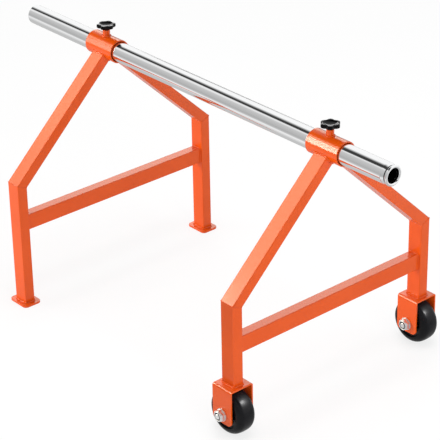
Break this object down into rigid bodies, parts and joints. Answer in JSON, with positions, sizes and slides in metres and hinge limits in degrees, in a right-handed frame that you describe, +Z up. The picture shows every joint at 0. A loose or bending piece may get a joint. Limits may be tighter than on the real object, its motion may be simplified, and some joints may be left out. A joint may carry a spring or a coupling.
{
  "type": "wire spool cart",
  "caption": "Cart that holds wire spools on a long horizontal bar between two welded A-frames that slide and clamp along it; one frame rests on foot plates and the other rolls on wheels.",
  "frame": {"origin": "on the floor, under the middle of the bar", "axes": "+X along the bar, towards the wheel frame; +Y from the near side to the far side; +Z up"},
  "size_m": [0.93, 0.494, 0.4843],
  "materials": {
    "frame_paint": "glossy orange powder coat over welded steel",
    "bar_chrome": "bright chrome plate on steel tube",
    "zinc_plate": "bright zinc plate",
    "axle_steel": "drawn steel tube, lightly oiled",
    "knob_plastic": "glossy black moulded plastic",
    "wheel_plastic": "black moulded nylon",
    "tyre_rubber": "black moulded rubber, semi-gloss"
  },
  "bodies": {
    "bar": {"spool_bar": "bar_chrome"},
    "foot_frame": {"foot_frame_near_post": "frame_paint", "foot_frame_far_post": "frame_paint", "foot_frame_near_brace": "frame_paint", "foot_frame_far_brace": "frame_paint", "foot_frame_crossbar": "frame_paint", "foot_frame_collar": "frame_paint", "foot_frame_boss": "frame_paint", "near_foot_plate": "frame_paint", "far_foot_plate": "frame_paint", "foot_plate_welds": "frame_paint"},
    "foot_stud": {"foot_frame_stud": "zinc_plate"},
    "foot_knob": {"foot_frame_knob": "knob_plastic"},
    "wheel_frame": {"wheel_frame_near_post": "frame_paint", "wheel_frame_far_post": "frame_paint", "wheel_frame_near_brace": "frame_paint", "wheel_frame_far_brace": "frame_paint", "wheel_frame_crossbar": "frame_paint", "wheel_frame_collar": "frame_paint", "wheel_frame_boss": "frame_paint", "near_fork": "frame_paint", "far_fork": "frame_paint", "fork_welds": "frame_paint", "near_axle_bolt": "zinc_plate", "far_axle_bolt": "zinc_plate", "near_axle_nut": "zinc_plate", "far_axle_nut": "zinc_plate", "near_axle_washers": "zinc_plate", "far_axle_washers": "zinc_plate", "near_axle_sleeve": "axle_steel", "far_axle_sleeve": "axle_steel"},
    "wheel_stud": {"wheel_frame_stud": "zinc_plate"},
    "wheel_knob": {"wheel_frame_knob": "knob_plastic"},
    "near_wheel": {"near_wheel_hub": "wheel_plastic", "near_tyre": "tyre_rubber"},
    "far_wheel": {"far_wheel_hub": "wheel_plastic", "far_tyre": "tyre_rubber"}
  },
  "joints": [
    {"name": "foot_frame_slide", "type": "slide", "parent": "bar", "child": "foot_frame", "axis": [1, 0, 0], "range_m": [-0.16, 0.24]},
    {"name": "wheel_frame_slide", "type": "slide", "parent": "bar", "child": "wheel_frame", "axis": [1, 0, 0], "range_m": [-0.25, 0.09]},
    {"name": "foot_stud_lift", "type": "slide", "parent": "foot_frame", "child": "foot_stud", "axis": [0, 0, 1], "range_m": [0, 0.0032]},
    {"name": "foot_knob_turn", "type": "hinge", "parent": "foot_stud", "child": "foot_knob", "pos_m": [-0.251, 0, 0.48], "axis": [0, 0, 1], "range_deg": [0, 900]},
    {"name": "wheel_stud_lift", "type": "slide", "parent": "wheel_frame", "child": "wheel_stud", "axis": [0, 0, 1], "range_m": [0, 0.0032]},
    {"name": "wheel_knob_turn", "type": "hinge", "parent": "wheel_stud", "child": "wheel_knob", "pos_m": [0.323, 0, 0.48], "axis": [0, 0, 1], "range_deg": [0, 900]},
    {"name": "near_wheel_spin", "type": "hinge", "parent": "wheel_frame", "child": "near_wheel", "pos_m": [0.323, -0.213, 0.04], "axis": [0, 1, 0], "continuous": true},
    {"name": "far_wheel_spin", "type": "hinge", "parent": "wheel_frame", "child": "far_wheel", "pos_m": [0.323, 0.213, 0.04], "axis": [0, 1, 0], "continuous": true}
  ],
  "couplings": [
    {"joint": "foot_stud_lift", "follows": "foot_knob_turn", "m_per_rad": 0.00019894},
    {"joint": "wheel_stud_lift", "follows": "wheel_knob_turn", "m_per_rad": 0.00019894}
  ]
}
